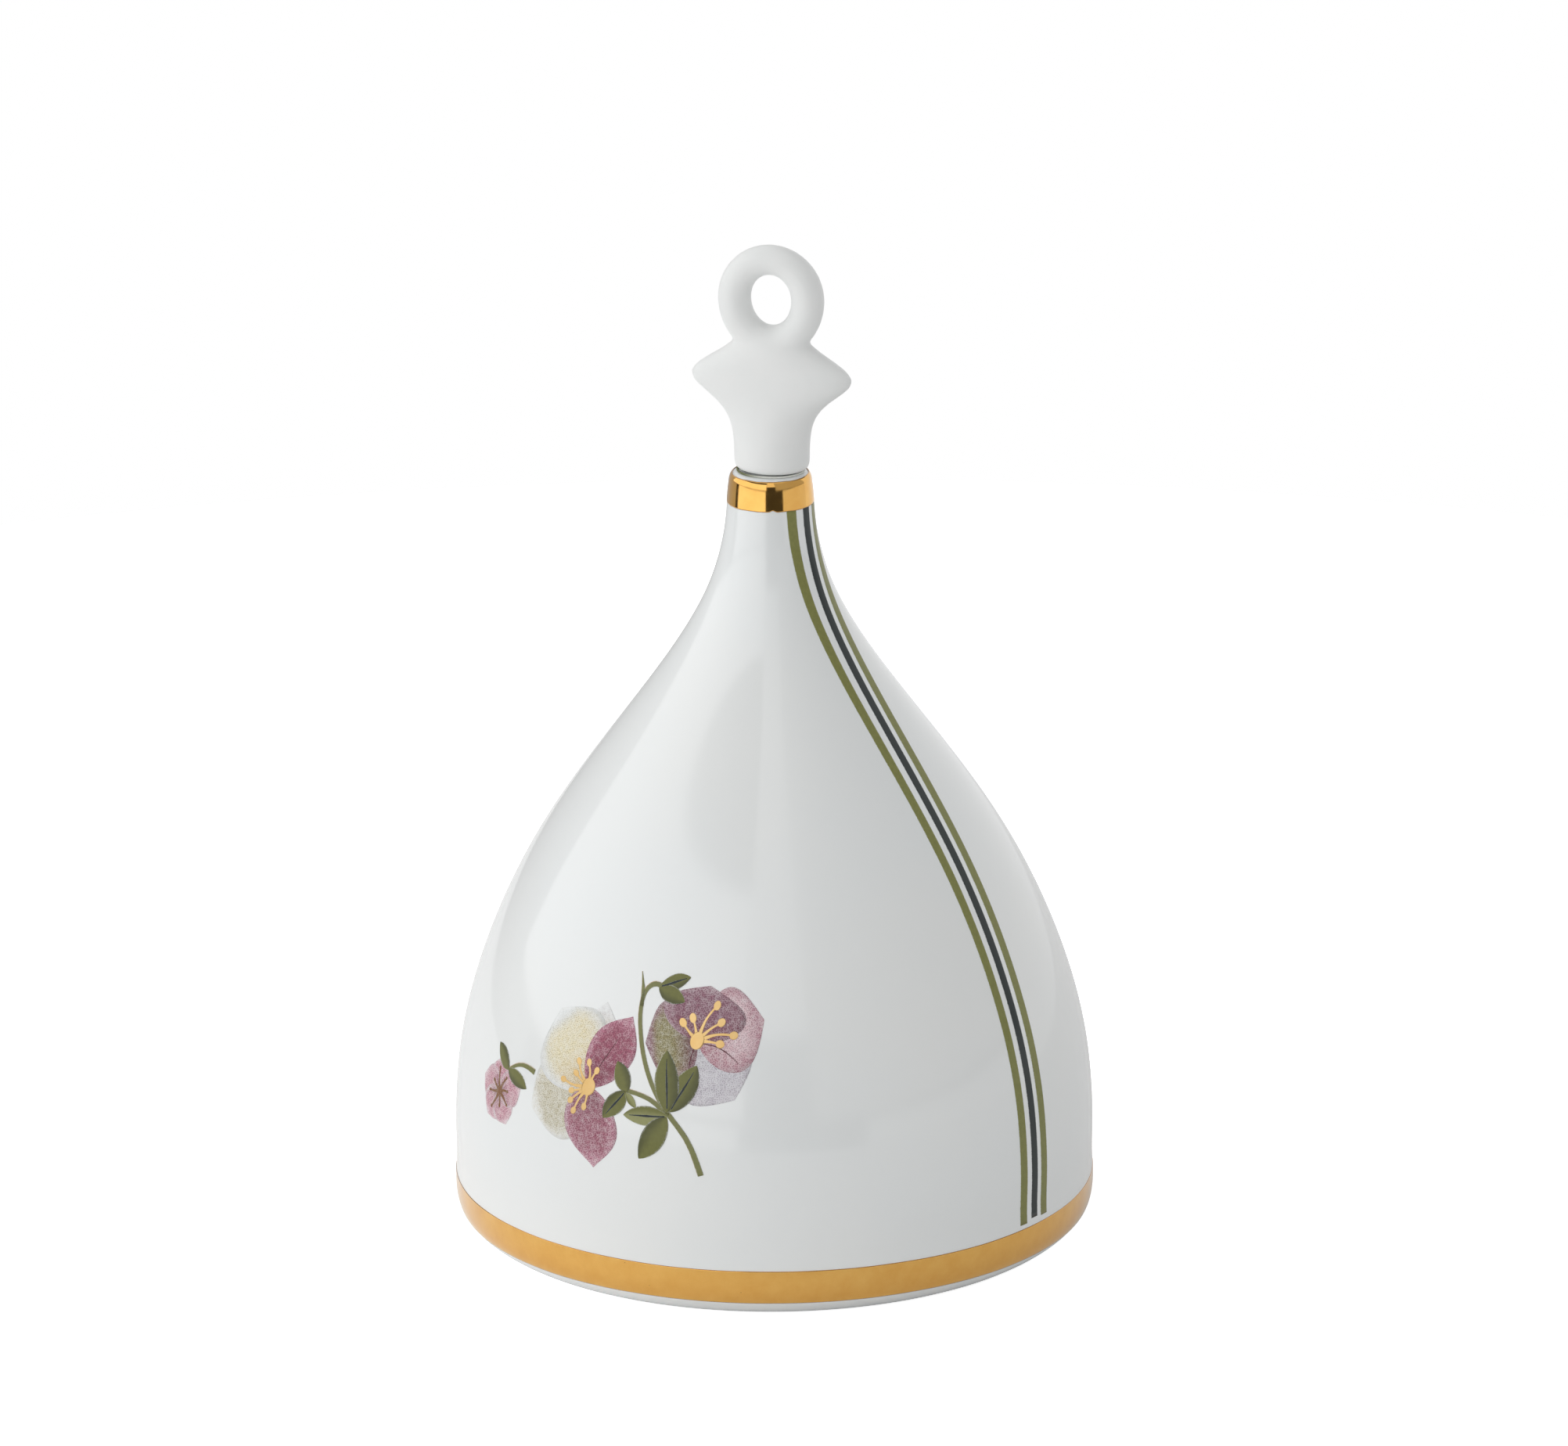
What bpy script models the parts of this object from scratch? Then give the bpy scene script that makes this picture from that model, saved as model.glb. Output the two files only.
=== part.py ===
"""Porcelain hand bell: a turned bell, a bisque finial with a loop, and a clapper on a brass hanger.

Frame: origin at the middle of the rim's foot, +Z up the bell's axis. The finial's loop and wings lie in
the XZ plane. Sizes are in millimetres, and MM turns them into metres when a mesh is made.
"""
import math

import bmesh
import bpy
import numpy as np
from mathutils import Matrix

MM = 0.001
MERGE = 0.00001

# Bell: heights and radii that the outer wall runs through, from the rim to the neck.
WALL_HEIGHTS = (3.4, 12.0, 24.0, 38.0, 54.0, 70.0, 80.0, 88.0, 95.0, 100.0)
WALL_RADII = (41.3, 41.5, 40.7, 36.9, 29.0, 17.7, 10.9, 7.18, 5.76, 5.27)
WALL = 3.5
FOOT_OUTER = 37.3
FOOT_INNER = 35.6
INNER_START = 9.0
INNER_END = 90.0
WEB_UNDERSIDE = 89.3
WEB_TOP = 92.5
SOCKET_RADIUS = 3.2
PIN_HOLE_RADIUS = 1.2
LIP_TOP = 100.85
LIP_INNER = 3.4
LIP_OUTER = 4.5
BELL_STEPS = 48
WALL_RINGS = 20
INNER_RINGS = 14

# Finial: a stem that spreads into two wings, with a loop of round stock on top.
SPIGOT_RADIUS = 2.2
SPIGOT_BOTTOM = 94.6
FINIAL_BOTTOM = 101.15
FINIAL_EDGE = 0.85
FINIAL_SIDES = 24
FINIAL_RINGS = 16
# height, half width along X, half depth along Y
FINIAL_PROFILE = (
    (FINIAL_BOTTOM + FINIAL_EDGE, 4.8, 4.1),
    (106.0, 5.0, 4.0),
    (109.0, 6.2, 3.8),
    (111.0, 8.35, 3.5),
    (113.0, 10.5, 3.2),
    (115.2, 8.9, 3.0),
    (117.2, 5.8, 2.7),
    (118.8, 4.2, 2.0),
)
LOOP_CENTRE = 123.6
LOOP_HALF_WIDTH = 4.75
LOOP_RISE = 5.2
LOOP_DROP = 5.6
LOOP_WIRE_SIDE = 2.15
LOOP_WIRE_TOP = 2.0
LOOP_POINTS = 28

# Cement sleeve between the finial's spigot and the bell's socket.
CEMENT_INNER = 2.5
CEMENT_OUTER = 2.9
CEMENT_BOTTOM = 93.7
CEMENT_TOP = 100.5

# Brass hanger: a headed pin through the web, on a washer, with an eye below.
WIRE = 0.8
EYE_WIRE = 0.7
EYE_RADIUS = 2.6
EYE_SEGMENTS = 24
WIRE_SIDES = 12
WASHER_THICKNESS = 0.5
HANGER_WASHER_BOTTOM = 92.8
HANGER_WASHER_RADIUS = 2.9
PIN_HEAD_BOTTOM = 93.6
PIN_HEAD_TOP = 94.3
PIN_HEAD_RADIUS = 2.0
HANGER_EYE = 83.5
BORE = 1.1

# Clapper: its rod's eye hangs on the hanger's eye, and the pivot is the hanger eye's lowest wire.
PIVOT = HANGER_EYE - EYE_RADIUS
CLAPPER_EYE = PIVOT - 0.9
BALL_CENTRE = 22.0
BALL_RADIUS = 8.0
BALL_RINGS = 16
BALL_STEPS = 28
CRIMP_BOTTOM = 30.4
CRIMP_TOP = 33.2
CRIMP_RADIUS = 2.0
CLAPPER_WASHER_BOTTOM = 13.1
CLAPPER_WASHER_RADIUS = 2.8
ROD_HEAD_TOP = 12.8
ROD_HEAD_BOTTOM = 12.0
ROD_HEAD_RADIUS = 1.7
SMALL_STEPS = 24


def clear_scene():
    for obj in list(bpy.data.objects):
        bpy.data.objects.remove(obj, do_unlink=True)


def new_collection(name):
    group = bpy.data.collections.new(name)
    bpy.context.scene.collection.children.link(group)
    return group


def new_material(name, colour, roughness, metallic=0.0, coat=0.0):
    material = bpy.data.materials.new(name)
    material.use_nodes = True
    shader = material.node_tree.nodes["Principled BSDF"]
    shader.inputs["Base Color"].default_value = (*colour, 1.0)
    shader.inputs["Roughness"].default_value = roughness
    shader.inputs["Metallic"].default_value = metallic
    shader.inputs["Coat Weight"].default_value = coat
    return material


def add_object(name, mesh, group, material=None):
    """Link a mesh as an object, shaded smooth except at its sharp edges."""
    mesh.shade_smooth()
    mesh.set_sharp_from_angle(angle=math.radians(35))
    obj = bpy.data.objects.new(name, mesh)
    if material:
        mesh.materials.append(material)
    group.objects.link(obj)
    return obj


def mesh_from(bm, name):
    mesh = bpy.data.meshes.new(name)
    bm.to_mesh(mesh)
    bm.free()
    return mesh


def make_guide(obj):
    """Hide a piece that only cuts or joins another."""
    obj.hide_render = True
    obj.display_type = "WIRE"


def spline(heights, values):
    """Natural cubic spline through the given heights, as a function of height."""
    x = np.array(heights)
    y = np.array(values)
    gaps = np.diff(x)
    slopes = np.diff(y) / gaps
    system = np.eye(len(x))
    right = np.zeros(len(x))
    for i in range(1, len(x) - 1):
        system[i, i - 1:i + 2] = gaps[i - 1], 2 * (gaps[i - 1] + gaps[i]), gaps[i]
        right[i] = 6 * (slopes[i] - slopes[i - 1])
    bend = np.linalg.solve(system, right)

    def value(height):
        i = int(np.clip(np.searchsorted(x, height) - 1, 0, len(gaps) - 1))
        below = height - x[i]
        above = x[i + 1] - height
        cubic = (bend[i] * above ** 3 + bend[i + 1] * below ** 3) / (6 * gaps[i])
        start = (y[i] / gaps[i] - bend[i] * gaps[i] / 6) * above
        end = (y[i + 1] / gaps[i] - bend[i + 1] * gaps[i] / 6) * below
        return float(cubic + start + end)

    return value


def bezier(start, handle_a, handle_b, end, steps):
    """Points of a cubic Bezier arc, without its first point."""
    points = []
    for t in np.linspace(0, 1, steps + 1)[1:]:
        weights = ((1 - t) ** 3, 3 * t * (1 - t) ** 2, 3 * t * t * (1 - t), t ** 3)
        corners = (start, handle_a, handle_b, end)
        points.append(tuple(sum(w * c[k] for w, c in zip(weights, corners)) for k in (0, 1)))
    return points


wall_radius = spline(WALL_HEIGHTS, WALL_RADII)


def inner_point(height):
    """Point on the bell's inner face, one wall thickness in from the outer wall at this height."""
    slope = (wall_radius(height + 0.05) - wall_radius(height - 0.05)) / 0.1
    length = math.hypot(1, slope)
    return wall_radius(height) - WALL / length, height + WALL * slope / length


def bell_outline():
    """Closed outline of (radius, height), down the outside and up the inside."""
    neck, rim = WALL_HEIGHTS[-1], WALL_HEIGHTS[0]
    lip_start = (wall_radius(neck), neck)
    points = [(LIP_INNER, LIP_TOP), (LIP_OUTER, LIP_TOP)]
    points += bezier((LIP_OUTER, LIP_TOP), (4.9, LIP_TOP), (5.22, 100.45), lip_start, 4)
    points += [(wall_radius(z), z) for z in np.linspace(neck, rim, WALL_RINGS + 1)[1:]]
    points += bezier(points[-1], (41.2, 2.2), (39.2, 0.55), (FOOT_OUTER, 0.0), 5)
    points.append((FOOT_INNER, 0.0))
    points += bezier((FOOT_INNER, 0.0), (36.0, 2.5), (37.3, 5.0), inner_point(INNER_START), 4)
    points += [inner_point(z) for z in np.linspace(INNER_START, INNER_END, INNER_RINGS + 1)[1:]]
    points.append((points[-1][0] - 0.4, WEB_UNDERSIDE))
    points += [
        (PIN_HOLE_RADIUS, WEB_UNDERSIDE),
        (PIN_HOLE_RADIUS, WEB_TOP),
        (SOCKET_RADIUS, WEB_TOP),
        (SOCKET_RADIUS, LIP_TOP - 0.2),
    ]
    return points


def ring_outline(inner, outer, bottom, top):
    return [(inner, top), (outer, top), (outer, bottom), (inner, bottom)]


def ball_outline():
    """Sphere outline with a bore through it."""
    tilt = math.acos(BORE / BALL_RADIUS)
    angles = np.linspace(tilt, -tilt, BALL_RINGS + 1)
    return [(BALL_RADIUS * math.cos(a), BALL_CENTRE + BALL_RADIUS * math.sin(a)) for a in angles]


def turned(name, outline, steps, group, material=None, closed=True):
    """Solid of revolution about Z from an outline of (radius, height) that runs down its outer side."""
    bm = bmesh.new()
    verts = [bm.verts.new((radius * MM, 0, height * MM)) for radius, height in outline]
    for a, b in zip(verts, verts[1:]):
        bm.edges.new((a, b))
    if closed:
        bm.edges.new((verts[-1], verts[0]))
    obj = add_object(name, mesh_from(bm, name), group, material)
    screw = obj.modifiers.new("turn", "SCREW")
    screw.axis = "Z"
    screw.angle = math.tau
    screw.steps = screw.render_steps = steps
    screw.use_merge_vertices = True
    screw.merge_threshold = MERGE
    screw.use_smooth_shade = True
    return obj


def eye(name, height, plane_rotation, group):
    """Ring of wire standing upright, used to join onto a pin."""
    bpy.ops.mesh.primitive_torus_add(
        major_radius=EYE_RADIUS * MM, minor_radius=EYE_WIRE * MM,
        major_segments=EYE_SEGMENTS, minor_segments=WIRE_SIDES,
    )
    ring = bpy.context.object
    ring.name = name
    turn = plane_rotation @ Matrix.Rotation(math.pi / 2, 4, "X")
    ring.data.transform(Matrix.Translation((0, 0, height * MM)) @ turn)
    for owner in list(ring.users_collection):
        owner.objects.unlink(ring)
    group.objects.link(ring)
    make_guide(ring)
    return ring


def join_on(obj, other):
    union = obj.modifiers.new("join " + other.name, "BOOLEAN")
    union.operation = "UNION"
    union.solver = "EXACT"
    union.object = other


def loop_point(angle):
    """Point (x, z) on the middle line of the finial's loop, and the stock's radius there."""
    height = LOOP_RISE if math.sin(angle) > 0 else LOOP_DROP
    thinning = (LOOP_WIRE_SIDE - LOOP_WIRE_TOP) * max(0.0, math.sin(angle)) ** 2
    return (
        LOOP_HALF_WIDTH * math.cos(angle),
        LOOP_CENTRE + height * math.sin(angle),
        LOOP_WIRE_SIDE - thinning,
    )


def finial_loop(group):
    """Closed ring of round stock, turned from a curve into a mesh so that it can be joined."""
    curve = bpy.data.curves.new("loop path", "CURVE")
    curve.dimensions = "3D"
    curve.bevel_depth = MM
    curve.bevel_resolution = 4
    path = curve.splines.new("POLY")
    path.points.add(LOOP_POINTS - 1)
    path.use_cyclic_u = True
    for i, point in enumerate(path.points):
        x, z, radius = loop_point(math.tau * i / LOOP_POINTS)
        point.co = (x * MM, 0, z * MM, 1)
        point.radius = radius
    rail = bpy.data.objects.new("loop path", curve)
    group.objects.link(rail)
    mesh = bpy.data.meshes.new_from_object(rail.evaluated_get(bpy.context.evaluated_depsgraph_get()))
    bpy.data.objects.remove(rail)
    loop = add_object("finial loop", mesh, group)
    make_guide(loop)
    return loop


def finial_sections():
    """(height, half width, half depth) of the finial's rings: its rounded lower edge, then its profile."""
    heights, widths, depths = zip(*FINIAL_PROFILE)
    half_width = spline(heights, widths)
    half_depth = spline(heights, depths)
    sections = []
    for turn in np.radians((0, 30, 60)):
        inset = FINIAL_EDGE * (1 - math.sin(turn))
        height = FINIAL_BOTTOM + FINIAL_EDGE * (1 - math.cos(turn))
        sections.append((height, widths[0] - inset, depths[0] - inset))
    for height in np.linspace(heights[0], heights[-1], FINIAL_RINGS + 1):
        sections.append((height, half_width(height), half_depth(height)))
    return sections


def finial_body(name, group, material):
    """Loft of elliptical sections: the round spigot, the stem and the wings."""
    sections = [(height, SPIGOT_RADIUS, SPIGOT_RADIUS) for height in (SPIGOT_BOTTOM, FINIAL_BOTTOM)]
    sections += finial_sections()
    bm = bmesh.new()
    rings = []
    for height, half_width, half_depth in sections:
        turns = [math.tau * i / FINIAL_SIDES for i in range(FINIAL_SIDES)]
        rings.append([
            bm.verts.new((half_width * math.cos(t) * MM, half_depth * math.sin(t) * MM, height * MM))
            for t in turns
        ])
    for low, high in zip(rings, rings[1:]):
        for i in range(FINIAL_SIDES):
            k = (i + 1) % FINIAL_SIDES
            bm.faces.new((low[i], low[k], high[k], high[i]))
    bm.faces.new(reversed(rings[0]))
    bm.faces.new(rings[-1])
    return add_object(name, mesh_from(bm, name), group, material)


def pin_outline():
    """Domed head on a plain shank that ends inside the eye's top wire."""
    return [
        (0.0, PIN_HEAD_TOP),
        (1.4, PIN_HEAD_TOP - 0.1),
        (PIN_HEAD_RADIUS, PIN_HEAD_BOTTOM + 0.25),
        (PIN_HEAD_RADIUS, PIN_HEAD_BOTTOM),
        (WIRE, PIN_HEAD_BOTTOM),
        (WIRE, HANGER_EYE + EYE_RADIUS),
        (0.0, HANGER_EYE + EYE_RADIUS),
    ]


def rod_outline():
    """Plain shank from inside the eye's bottom wire down to a riveted head."""
    top = CLAPPER_EYE - EYE_RADIUS
    return [
        (0.0, top),
        (WIRE, top),
        (WIRE, ROD_HEAD_TOP),
        (ROD_HEAD_RADIUS, ROD_HEAD_TOP),
        (ROD_HEAD_RADIUS, ROD_HEAD_TOP - 0.3),
        (1.1, ROD_HEAD_BOTTOM + 0.1),
        (0.0, ROD_HEAD_BOTTOM),
    ]


def crimp_outline():
    chamfer = 0.4
    return [
        (BORE, CRIMP_TOP),
        (CRIMP_RADIUS - chamfer, CRIMP_TOP),
        (CRIMP_RADIUS, CRIMP_TOP - chamfer),
        (CRIMP_RADIUS, CRIMP_BOTTOM + chamfer),
        (CRIMP_RADIUS - chamfer, CRIMP_BOTTOM),
        (BORE, CRIMP_BOTTOM),
    ]


def build():
    clear_scene()
    parts = new_collection("porcelain_bell")
    guides = new_collection("guides")
    glaze = new_material("glazed porcelain", (0.85, 0.86, 0.86), 0.08, coat=0.6)
    bisque = new_material("bisque porcelain", (0.86, 0.87, 0.87), 0.55)
    brass = new_material("brass", (0.78, 0.56, 0.24), 0.3, metallic=1.0)
    grout = new_material("cement", (0.55, 0.56, 0.48), 0.85)

    turned("bell_body", bell_outline(), BELL_STEPS, parts, glaze)

    finial = finial_body("finial", parts, bisque)
    join_on(finial, finial_loop(guides))
    sleeve = ring_outline(CEMENT_INNER, CEMENT_OUTER, CEMENT_BOTTOM, CEMENT_TOP)
    turned("finial_cement", sleeve, SMALL_STEPS, parts, grout)

    washer = ring_outline(
        BORE, HANGER_WASHER_RADIUS, HANGER_WASHER_BOTTOM, HANGER_WASHER_BOTTOM + WASHER_THICKNESS
    )
    turned("hanger_washer", washer, SMALL_STEPS, parts, brass)
    pin = turned("hanger_pin", pin_outline(), WIRE_SIDES, parts, brass, closed=False)
    join_on(pin, eye("hanger eye", HANGER_EYE, Matrix.Identity(4), guides))

    swing = bpy.data.objects.new("clapper pivot", None)
    swing.location = (0, 0, PIVOT * MM)
    parts.objects.link(swing)
    rod = turned("clapper_rod", rod_outline(), WIRE_SIDES, parts, brass, closed=False)
    join_on(rod, eye("clapper eye", CLAPPER_EYE, Matrix.Rotation(math.pi / 2, 4, "Z"), guides))
    crimp = turned("clapper_crimp", crimp_outline(), SMALL_STEPS, parts, brass)
    ball = turned("clapper_ball", ball_outline(), BALL_STEPS, parts, glaze)
    washer = ring_outline(
        BORE, CLAPPER_WASHER_RADIUS, CLAPPER_WASHER_BOTTOM, CLAPPER_WASHER_BOTTOM + WASHER_THICKNESS
    )
    end_washer = turned("clapper_washer", washer, SMALL_STEPS, parts, brass)
    for piece in (rod, crimp, ball, end_washer):
        piece.parent = swing
        piece.matrix_parent_inverse = swing.matrix_world.inverted()


build()
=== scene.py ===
"""Looks of the porcelain bell: a glazed body with gold bands, three printed lines and a flower spray, a
bisque finial with a loop, and a brass hanger and clapper inside.

Lengths are in millimetres, and MM turns them into metres when a mesh is made. Azimuths start at the front,
-Y, and grow towards +X. The print is laid out on a flat sheet of (u, v): u runs round the front as an arc
on a circle of SHEET_RADIUS, and v is the height.
"""
import math

import bmesh
import bpy
import numpy as np
from mathutils import Matrix, Vector


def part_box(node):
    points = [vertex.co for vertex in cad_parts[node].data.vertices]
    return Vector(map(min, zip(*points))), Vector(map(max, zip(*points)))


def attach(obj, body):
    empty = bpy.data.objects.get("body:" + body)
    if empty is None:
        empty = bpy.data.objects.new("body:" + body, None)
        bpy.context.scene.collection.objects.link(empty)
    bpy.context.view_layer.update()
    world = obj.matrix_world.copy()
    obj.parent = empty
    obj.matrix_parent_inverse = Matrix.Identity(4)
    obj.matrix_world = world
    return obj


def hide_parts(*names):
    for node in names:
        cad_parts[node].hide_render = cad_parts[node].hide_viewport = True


MM = 0.001
TINY = 0.00002

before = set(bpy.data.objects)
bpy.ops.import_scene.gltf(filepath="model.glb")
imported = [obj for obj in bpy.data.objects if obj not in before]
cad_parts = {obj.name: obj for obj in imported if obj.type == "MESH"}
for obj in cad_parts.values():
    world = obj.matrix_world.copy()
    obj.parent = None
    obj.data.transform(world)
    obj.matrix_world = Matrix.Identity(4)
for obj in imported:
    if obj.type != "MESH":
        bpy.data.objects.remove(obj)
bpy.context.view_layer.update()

# Camera: degrees, and millimetres from the pivot on the axis
VIEW_AZIMUTH = 15.3
VIEW_ELEVATION = 18.47
VIEW_DISTANCE = 1631.0
VIEW_ROLL = -0.35
VIEW_PIVOT = 50.0
AIM_RIGHT = 1.57
AIM_UP = 16.07
FOCAL = 289.9

# Bell: how far the glazed outside stays within the CAD solid, and the room between neighbouring pieces
GLAZE_INSET = 0.1
GAP = 0.3
HOLE_IN_WASHER = 1.7
BELL_STEPS = 256
PROFILE_SPACING = 0.7
FILM = 0.02

# Finial: it sits off the axis, and stays just under the CAD solid's top
FINIAL_SHIFT = 0.25
FINIAL_HEIGHT_SCALE = 0.9998
FINIAL_VOXEL = 0.22
FINIAL_MELT_ROUNDS = 40

# Cement bead: half widths, thickness and height over the lip
BEAD_ACROSS = 4.3
BEAD_DEEP = 3.62
BEAD_SWELL = 0.13
BEAD_RISE = 0.14

# Hanger and clapper
EYE_RADIUS = 2.6
EYE_WIRE = 0.7
WRAP_RADIUS = 1.45
WRAP_TURNS = 2
BORE = 1.1

# Gold and printed lines
LOWER_BAND = (2.5, 7.0)
COLLAR = (96.9, 100.72)
LINE_AZIMUTH = 69.3
LINE_TOP = 97.3
LINE_BOTTOM = 7.6
DARK_LINE_WIDTH = 1.32
SIDE_LINE_WIDTH = 1.42
RIGHT_GAP = 2.15
SHEET_RADIUS = 40.0
DOT_PITCH = 0.24

# Flower spray: grid of a petal or leaf, and how far each layer of print stands off the glaze
BLADE_ROWS = 26
BLADE_COLUMNS = 13
CREASE_LIFT = 0.042
FRINGE_LIFT = 0.044
STEM_LIFT = 0.05
LEAF_LIFT = 0.054
UPPER_LEAF_LIFT = 0.06


def srgb(red, green, blue):
    """Linear colour of an 0 to 255 display colour."""
    shares = (c / 255 for c in (red, green, blue))
    linear = (s / 12.92 if s <= 0.04045 else ((s + 0.055) / 1.055) ** 2.4 for s in shares)
    return (*linear, 1.0)


PORCELAIN = srgb(238, 240, 239)
BISQUE = srgb(240, 241, 240)
LINE_OLIVE = srgb(130, 131, 74)
OLIVE = srgb(112, 113, 62)
DEEP_OLIVE = srgb(84, 86, 50)
PALE_OLIVE = srgb(146, 147, 100)
STEM_OLIVE = srgb(124, 125, 80)
SLATE = srgb(40, 48, 48)
TAN = srgb(200, 165, 120)
WINE = srgb(96, 44, 54)
GOLD = (0.86, 0.49, 0.12, 1.0)
PRINT_GOLD = (0.72, 0.51, 0.24, 1.0)


# ---------------------------------------------------------------- shapes

def curve_through(points, spacing):
    """Points about this far apart on the natural cubic spline through the given ones, ends included."""
    knots = np.array(points, float)
    lengths = np.linalg.norm(np.diff(knots, axis=0), axis=1)
    places = np.concatenate(([0.0], np.cumsum(lengths)))
    slopes = np.diff(knots, axis=0) / lengths[:, None]
    system = np.eye(len(knots))
    right = np.zeros_like(knots)
    for i in range(1, len(knots) - 1):
        system[i, i - 1:i + 2] = lengths[i - 1], 2 * (lengths[i - 1] + lengths[i]), lengths[i]
        right[i] = 6 * (slopes[i] - slopes[i - 1])
    bend = np.linalg.solve(system, right)
    made = []
    for place in np.linspace(0, places[-1], max(1, round(places[-1] / spacing)) + 1):
        i = min(int(np.searchsorted(places, place, side="right")) - 1, len(lengths) - 1)
        after = places[i + 1] - place
        before = place - places[i]
        span = lengths[i]
        cubic = (bend[i] * after ** 3 + bend[i + 1] * before ** 3) / (6 * span)
        start = (knots[i] / span - bend[i] * span / 6) * after
        end = (knots[i + 1] / span - bend[i + 1] * span / 6) * before
        made.append(cubic + start + end)
    return np.array(made)


def wall_points(node, outside):
    """(radius, height) of a turned node's wall, from below: its vertices in the XZ plane that a level ray meets.
    The ray from the axis also meets the pin's hole and the socket, so their corners are among them."""
    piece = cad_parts[node]
    low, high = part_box(node)
    middle = (low.z + high.z) / 2
    found = {}
    for vert in piece.data.vertices:
        x, y, z = vert.co
        if x <= 0 or abs(y) > TINY:
            continue
        level = z + (middle - z) * 1e-4
        beside = TINY / 9
        start, way = ((1, beside, level), (-1, 0, 0)) if outside else ((0, beside, level), (1, 0, 0))
        hit, place, _, _ = piece.ray_cast(start, way)
        if hit and abs(place.x - x) < 2 * TINY + 0.02 * MM:
            found[round(z / MM, 3)] = x / MM
    return [(radius, height) for height, radius in sorted(found.items())]


def finish_mesh(name, bm, material, sharp=35):
    """Object from a bmesh, shaded smooth except at its sharp edges."""
    mesh = bpy.data.meshes.new(name)
    bm.to_mesh(mesh)
    bm.free()
    mesh.shade_smooth()
    mesh.set_sharp_from_angle(angle=math.radians(sharp))
    mesh.materials.append(material)
    obj = bpy.data.objects.new(name, mesh)
    bpy.context.scene.collection.objects.link(obj)
    return obj


def turned(name, outline, steps, material, closed=True):
    """Solid of revolution about Z from (radius, height) points that run down its outer side."""
    bm = bmesh.new()
    rings = []
    for radius, height in outline:
        if radius < TINY:
            rings.append([bm.verts.new((0, 0, height * MM))] * steps)
            continue
        turns = (math.tau * i / steps for i in range(steps))
        rings.append([
            bm.verts.new((radius * math.cos(t) * MM, radius * math.sin(t) * MM, height * MM)) for t in turns
        ])
    pairs = list(zip(rings, rings[1:]))
    if closed:
        pairs.append((rings[-1], rings[0]))
    for upper, lower in pairs:
        for i in range(steps):
            k = (i + 1) % steps
            corners = (upper[i], lower[i], lower[k], upper[k])
            bm.faces.new(dict.fromkeys(corners))
    bmesh.ops.recalc_face_normals(bm, faces=bm.faces)
    return finish_mesh(name, bm, material)


def rounded(corners, radius, steps=3):
    """Closed outline with each corner cut to an arc-like curve that starts this far from it."""
    points = []
    for i, corner in enumerate(corners):
        here = Vector(corner)
        before = Vector(corners[i - 1]) - here
        after = Vector(corners[(i + 1) % len(corners)]) - here
        start = here + before.normalized() * min(radius, before.length / 2)
        end = here + after.normalized() * min(radius, after.length / 2)
        for share in np.linspace(0, 1, steps + 1):
            point = start * (1 - share) ** 2 + here * 2 * share * (1 - share) + end * share ** 2
            points.append(tuple(point))
    return points


# ---------------------------------------------------------------- bell surface

OUTER_POINTS = wall_points("bell_body", outside=True)
INNER_POINTS = wall_points("bell_body", outside=False)
RIM_RADIUS = max(radius for radius, _ in OUTER_POINTS)
SLIM = 1 - GLAZE_INSET / RIM_RADIUS
OUTER = curve_through([(radius * SLIM, height) for radius, height in OUTER_POINTS], 0.1)


def wall_radius(height):
    return float(np.interp(height, OUTER[:, 1], OUTER[:, 0]))


def skin(azimuth, height, lift):
    """Point in metres this far off the bell's outer surface. The azimuth is in radians."""
    slope = (wall_radius(height + 0.2) - wall_radius(height - 0.2)) / 0.4
    length = math.hypot(1, slope)
    radius = wall_radius(height) + lift / length
    level = height - lift * slope / length
    return (radius * math.sin(azimuth) * MM, -radius * math.cos(azimuth) * MM, level * MM)


def film(name, spots, faces, lift, material, marks=None):
    """Thin closed film on the bell, from (azimuth, height) spots and anticlockwise faces.
    lift is one number or one for each spot, and marks holds a value or a colour for each, by attribute."""
    lifts = np.broadcast_to(lift, len(spots))
    mesh = bpy.data.meshes.new(name)
    mesh.from_pydata([skin(*spot, rise) for spot, rise in zip(spots, lifts)], [], faces)
    marks = {"sheet": [(spot[0] * SHEET_RADIUS, spot[1], 0.0, 1.0) for spot in spots], **(marks or {})}
    for mark, values in marks.items():
        flat = np.array(values, np.float32).ravel()
        if len(flat) == len(spots):
            mesh.attributes.new(mark, "FLOAT", "POINT").data.foreach_set("value", flat)
        else:
            mesh.attributes.new(mark, "FLOAT_COLOR", "POINT").data.foreach_set("color", flat)
    bm = bmesh.new()
    bm.from_mesh(mesh)
    bmesh.ops.remove_doubles(bm, verts=bm.verts, dist=TINY / 10)
    bpy.data.meshes.remove(mesh)
    obj = finish_mesh(name, bm, material)
    shell = obj.modifiers.new("film", "SOLIDIFY")
    shell.thickness = (float(lifts.max()) + FILM) * MM
    shell.offset = -1
    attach(obj, "bell")
    return obj


def grid_faces(rows, columns, wrap=False):
    """Faces of a grid whose points are listed row by row, columns growing with azimuth and rows upward."""
    faces = []
    for row in range(rows - 1):
        for column in range(columns if wrap else columns - 1):
            beside = (column + 1) % columns
            low = row * columns
            high = low + columns
            faces.append((low + column, low + beside, high + beside, high + column))
    return faces


# ---------------------------------------------------------------- materials

def new_material(name):
    material = bpy.data.materials.new(name)
    material.use_nodes = True
    return material, material.node_tree, material.node_tree.nodes["Principled BSDF"]


def plug(tree, socket, value):
    """Link a socket to another, or set its value."""
    if isinstance(value, bpy.types.NodeSocket):
        tree.links.new(value, socket)
    else:
        socket.default_value = value


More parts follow.
